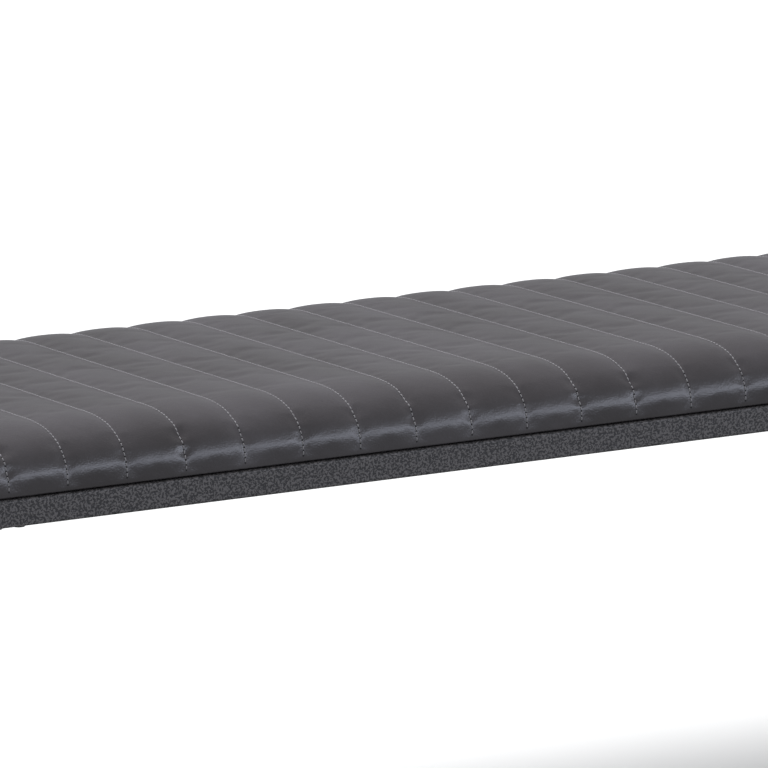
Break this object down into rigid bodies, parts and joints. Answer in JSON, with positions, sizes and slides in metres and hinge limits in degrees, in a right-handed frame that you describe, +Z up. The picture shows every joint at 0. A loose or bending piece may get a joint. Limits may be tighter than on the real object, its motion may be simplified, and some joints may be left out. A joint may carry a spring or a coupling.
{
  "type": "upholstered bench",
  "caption": "Backless bench with a channel-stitched grey leather pad on a welded frame of square steel tube with screw-adjustable feet.",
  "frame": {"origin": "on the floor, under the centre of the bench", "axes": "+X along the bench towards its right end, -Y towards its front, +Z up"},
  "size_m": [1.44, 0.4578, 0.471],
  "materials": {
    "leather": "semi-aniline upholstery leather, dark warm grey, satin",
    "thread": "pale grey bonded polyester thread",
    "wadding": "white polyester wadding",
    "foam": "cream polyurethane foam",
    "plywood": "unfinished birch plywood",
    "dust_cloth": "black spun-bonded polypropylene cloth",
    "frame_coat": "charcoal wrinkle powder coat on steel tube",
    "black_steel": "black oxide steel",
    "zinc_steel": "bright zinc plated steel",
    "black_plastic": "black nylon",
    "foot_rubber": "dark grey rubber"
  },
  "bodies": {
    "bench": {"leather_cover": "leather", "seam_stitching": "thread", "quilt_wadding": "wadding", "foam_core": "foam", "seat_board": "plywood", "threaded_inserts": "zinc_steel", "cover_staples": "zinc_steel", "dust_cover_staples": "zinc_steel", "dust_cover": "dust_cloth", "front_rail": "frame_coat", "back_rail": "frame_coat", "left_end_rail": "frame_coat", "right_end_rail": "frame_coat", "cross_member_left": "frame_coat", "cross_member_centre": "frame_coat", "cross_member_right": "frame_coat", "left_end_stretcher": "frame_coat", "right_end_stretcher": "frame_coat", "weld_beads": "frame_coat", "rail_bolts": "black_steel", "cross_member_bolts": "black_steel", "leg_plugs": "black_plastic", "plug_bushings": "zinc_steel", "front_left_leg": "frame_coat", "front_right_leg": "frame_coat", "back_left_leg": "frame_coat", "back_right_leg": "frame_coat"},
    "front_left_foot": {"foot_pad_front_left": "foot_rubber", "foot_base_front_left": "black_plastic"},
    "front_left_stem": {"foot_stem_front_left": "zinc_steel"},
    "front_right_foot": {"foot_pad_front_right": "foot_rubber", "foot_base_front_right": "black_plastic"},
    "front_right_stem": {"foot_stem_front_right": "zinc_steel"},
    "back_left_foot": {"foot_pad_back_left": "foot_rubber", "foot_base_back_left": "black_plastic"},
    "back_left_stem": {"foot_stem_back_left": "zinc_steel"},
    "back_right_foot": {"foot_pad_back_right": "foot_rubber", "foot_base_back_right": "black_plastic"},
    "back_right_stem": {"foot_stem_back_right": "zinc_steel"}
  },
  "joints": [
    {"name": "front_left_foot_travel", "type": "slide", "parent": "bench", "child": "front_left_foot", "axis": [0, 0, -1], "range_m": [0, 0.008]},
    {"name": "front_left_stem_turn", "type": "hinge", "parent": "front_left_foot", "child": "front_left_stem", "pos_m": [-0.7075, -0.2155, 0.02], "axis": [0, 0, -1], "range_deg": [0, 2304]},
    {"name": "front_right_foot_travel", "type": "slide", "parent": "bench", "child": "front_right_foot", "axis": [0, 0, -1], "range_m": [0, 0.008]},
    {"name": "front_right_stem_turn", "type": "hinge", "parent": "front_right_foot", "child": "front_right_stem", "pos_m": [0.7075, -0.2155, 0.02], "axis": [0, 0, -1], "range_deg": [0, 2304]},
    {"name": "back_left_foot_travel", "type": "slide", "parent": "bench", "child": "back_left_foot", "axis": [0, 0, -1], "range_m": [0, 0.008]},
    {"name": "back_left_stem_turn", "type": "hinge", "parent": "back_left_foot", "child": "back_left_stem", "pos_m": [-0.7075, 0.2155, 0.02], "axis": [0, 0, -1], "range_deg": [0, 2304]},
    {"name": "back_right_foot_travel", "type": "slide", "parent": "bench", "child": "back_right_foot", "axis": [0, 0, -1], "range_m": [0, 0.008]},
    {"name": "back_right_stem_turn", "type": "hinge", "parent": "back_right_foot", "child": "back_right_stem", "pos_m": [0.7075, 0.2155, 0.02], "axis": [0, 0, -1], "range_deg": [0, 2304]}
  ],
  "couplings": [
    {"joint": "front_left_stem_turn", "follows": "front_left_foot_travel", "rad_per_m": 5026.5},
    {"joint": "front_right_stem_turn", "follows": "front_right_foot_travel", "rad_per_m": 5026.5},
    {"joint": "back_left_stem_turn", "follows": "back_left_foot_travel", "rad_per_m": 5026.5},
    {"joint": "back_right_stem_turn", "follows": "back_right_foot_travel", "rad_per_m": 5026.5}
  ]
}
